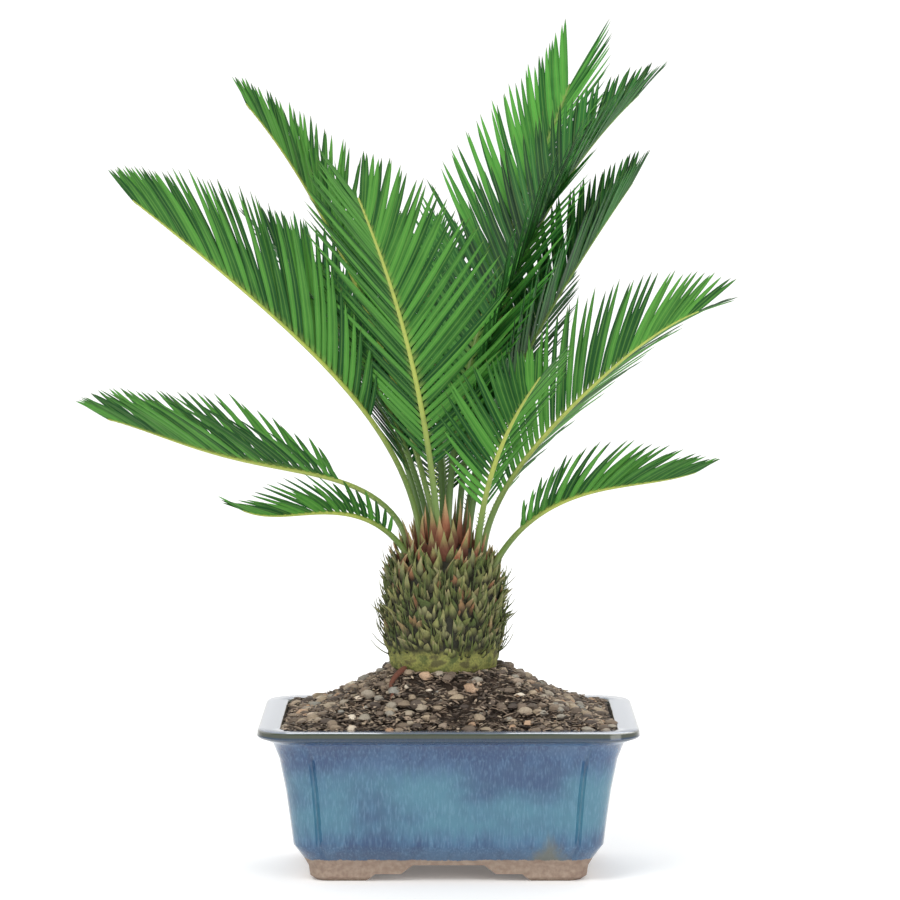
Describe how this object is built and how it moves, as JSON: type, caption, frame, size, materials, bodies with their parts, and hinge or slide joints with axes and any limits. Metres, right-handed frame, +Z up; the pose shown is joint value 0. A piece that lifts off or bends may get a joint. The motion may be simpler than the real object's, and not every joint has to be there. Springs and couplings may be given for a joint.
{
  "type": "sago palm bonsai in a glazed pot",
  "caption": "Young sago palm with a round scaly trunk and a crown of feather-shaped fronds, planted in a glazed rectangular bonsai pot on low feet.",
  "frame": {"origin": "centre of the part's footprint box, on the plane that the pot's feet stand on", "axes": "+Z up along the trunk, +X to the right along the pot's long side as the picture shows it, +Y away from the camera"},
  "size_m": [0.3678, 0.2886, 0.4639],
  "materials": {
    "glazed_pot": "gloss",
    "potting_soil": "matte",
    "leaf_base_bark": "matte",
    "frond": "satin"
  },
  "bodies": {
    "root": {"pot": "glazed_pot", "soil": "potting_soil", "trunk": "leaf_base_bark", "frond_left_low_long": "frond", "frond_left_low_short": "frond", "frond_left_high": "frond", "frond_left_behind": "frond", "frond_front_left": "frond", "frond_tall_left": "frond", "frond_tall_right": "frond", "frond_tall_right_behind": "frond", "frond_right_behind": "frond", "frond_right_high": "frond", "frond_right_front": "frond", "frond_right_low": "frond", "frond_back_left": "frond", "frond_back_right": "frond", "frond_back_tall": "frond", "frond_back_low": "frond"}
  },
  "joints": []
}
